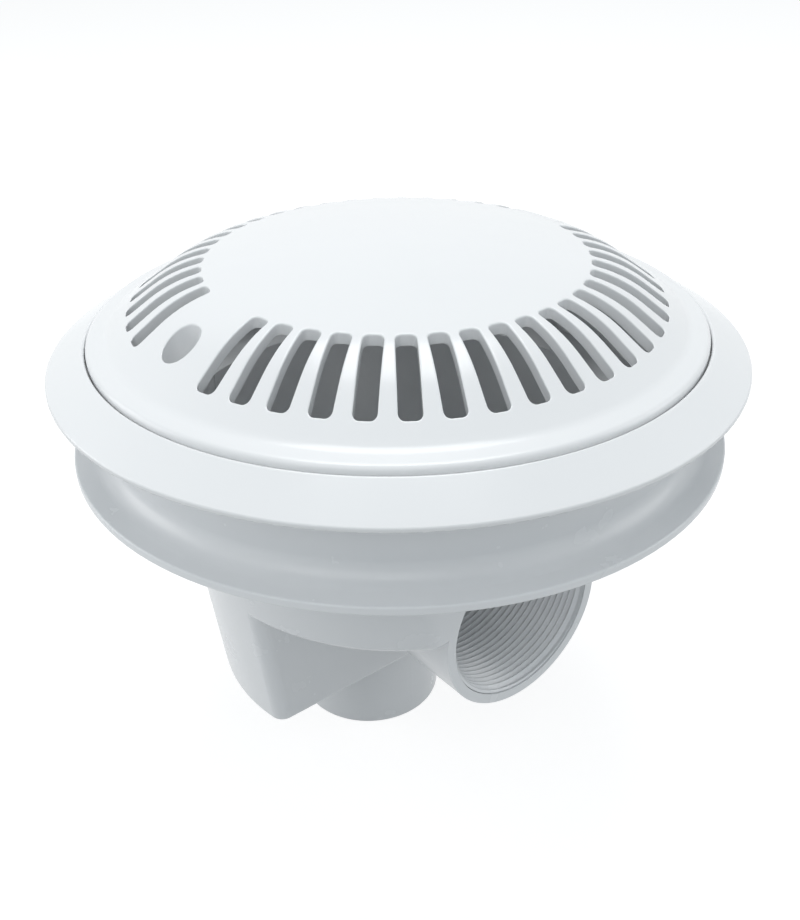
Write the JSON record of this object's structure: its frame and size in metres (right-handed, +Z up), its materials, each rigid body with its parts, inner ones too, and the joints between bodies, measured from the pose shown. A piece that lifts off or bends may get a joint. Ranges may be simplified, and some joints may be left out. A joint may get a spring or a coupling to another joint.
{
  "type": "pool main drain",
  "caption": "White plastic pool main drain: round sump with anchoring flange, threaded side and bottom outlets, and a domed slotted cover screwed to a sloping frame ring.",
  "frame": {"origin": "on the vertical axis of the sump and cover, at the lower end of the bottom outlet, the lowest point of the drain", "axes": "+Z up through the cover, +X along the side outlet, out of its mouth; the two cover screws lie on the Y axis"},
  "size_m": [0.23, 0.23, 0.1988],
  "materials": {
    "sump_plastic": "semi-gloss injection-moulded white ABS",
    "cover_plastic": "semi-gloss injection-moulded white ABS",
    "seal_rubber": "matt black sheet rubber",
    "screw_steel": "plain stainless steel",
    "insert_brass": "turned brass"
  },
  "bodies": {
    "root": {"sump_chamber": "sump_plastic", "sump_bucket": "sump_plastic", "sump_shelf": "sump_plastic", "side_outlet_pipe": "sump_plastic", "bottom_outlet_pipe": "sump_plastic", "frame_gasket": "seal_rubber", "frame_ring": "cover_plastic", "frame_screw_1": "screw_steel", "frame_screw_2": "screw_steel", "frame_screw_3": "screw_steel", "frame_screw_4": "screw_steel", "frame_screw_5": "screw_steel", "frame_screw_6": "screw_steel", "frame_screw_7": "screw_steel", "frame_screw_8": "screw_steel", "screw_insert_1": "insert_brass", "screw_insert_2": "insert_brass", "grate": "cover_plastic", "grate_well_1": "cover_plastic", "grate_well_2": "cover_plastic", "grate_screw_1": "screw_steel", "grate_screw_2": "screw_steel"}
  },
  "joints": []
}
